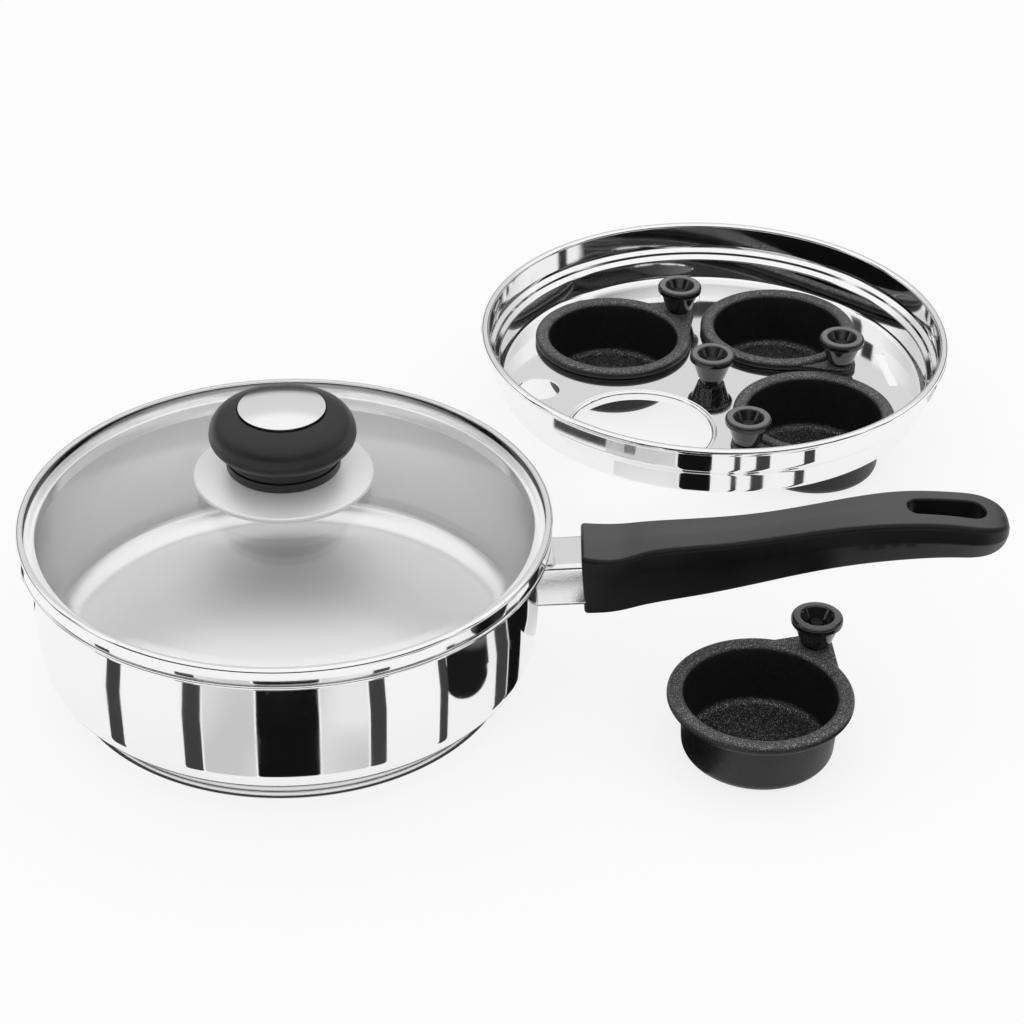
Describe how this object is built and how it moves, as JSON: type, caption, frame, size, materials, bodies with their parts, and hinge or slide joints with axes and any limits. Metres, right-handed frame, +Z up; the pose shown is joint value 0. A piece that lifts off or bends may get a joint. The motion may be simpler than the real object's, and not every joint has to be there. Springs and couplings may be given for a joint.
{
  "type": "egg poacher pan",
  "caption": "Egg poacher pan in polished steel with a domed glass lid, a black side handle, a poaching tray and non-stick egg cups with small lifting knobs",
  "frame": {"origin": "middle of the pan's underside, on the floor", "axes": "+Z up, +X from the pan's middle along the handle, +Y to the left of the handle where the tray stands"},
  "size_m": [0.3864, 0.401, 0.1219],
  "materials": {
    "polished_steel": "mirror",
    "satin_steel": "satin",
    "plain_steel": "satin",
    "core_aluminium": "satin",
    "handle_black": "matte",
    "knob_black": "gloss",
    "cup_coating": "satin",
    "clear_glass": "clear",
    "seal_rubber": "matte",
    "insert_brass": "satin"
  },
  "bodies": {
    "pan": {"pan_shell": "polished_steel", "base_core": "core_aluminium", "base_cap": "polished_steel", "handle_bracket": "plain_steel", "handle_ferrule": "satin_steel", "handle_grip": "handle_black", "handle_screw": "plain_steel"},
    "lid": {"lid_glass": "clear_glass", "lid_band": "polished_steel", "knob_washer": "seal_rubber", "inner_washer": "seal_rubber", "knob_dish": "polished_steel", "knob_grip": "handle_black", "knob_cap": "satin_steel", "knob_insert": "insert_brass", "knob_screw": "plain_steel"},
    "tray": {"tray_plate": "polished_steel", "tray_knob": "knob_black", "tray_screw": "plain_steel"},
    "cup_1": {"egg_cup_1": "cup_coating", "cup_knob_1": "knob_black", "cup_screw_1": "plain_steel"},
    "cup_2": {"egg_cup_2": "cup_coating", "cup_knob_2": "knob_black", "cup_screw_2": "plain_steel"},
    "cup_3": {"egg_cup_3": "cup_coating", "cup_knob_3": "knob_black", "cup_screw_3": "plain_steel"},
    "cup_4": {"egg_cup_4": "cup_coating", "cup_knob_4": "knob_black", "cup_screw_4": "plain_steel"}
  },
  "joints": [
    {"name": "lid_lift", "type": "slide", "parent": "pan", "child": "lid", "axis": [0, 0, 1], "range_m": [0, 0.06]},
    {"name": "tray_lift", "type": "slide", "parent": "pan", "child": "tray", "axis": [0, 0, 1], "range_m": [0, 0.1]},
    {"name": "cup_1_lift", "type": "slide", "parent": "tray", "child": "cup_1", "axis": [0, 0, 1], "range_m": [0, 0.06]},
    {"name": "cup_2_lift", "type": "slide", "parent": "tray", "child": "cup_2", "axis": [0, 0, 1], "range_m": [0, 0.06]},
    {"name": "cup_3_lift", "type": "slide", "parent": "tray", "child": "cup_3", "axis": [0, 0, 1], "range_m": [0, 0.06]},
    {"name": "cup_4_lift", "type": "slide", "parent": "pan", "child": "cup_4", "axis": [0, -0.8, 0.6], "range_m": [0, 0.12]}
  ]
}
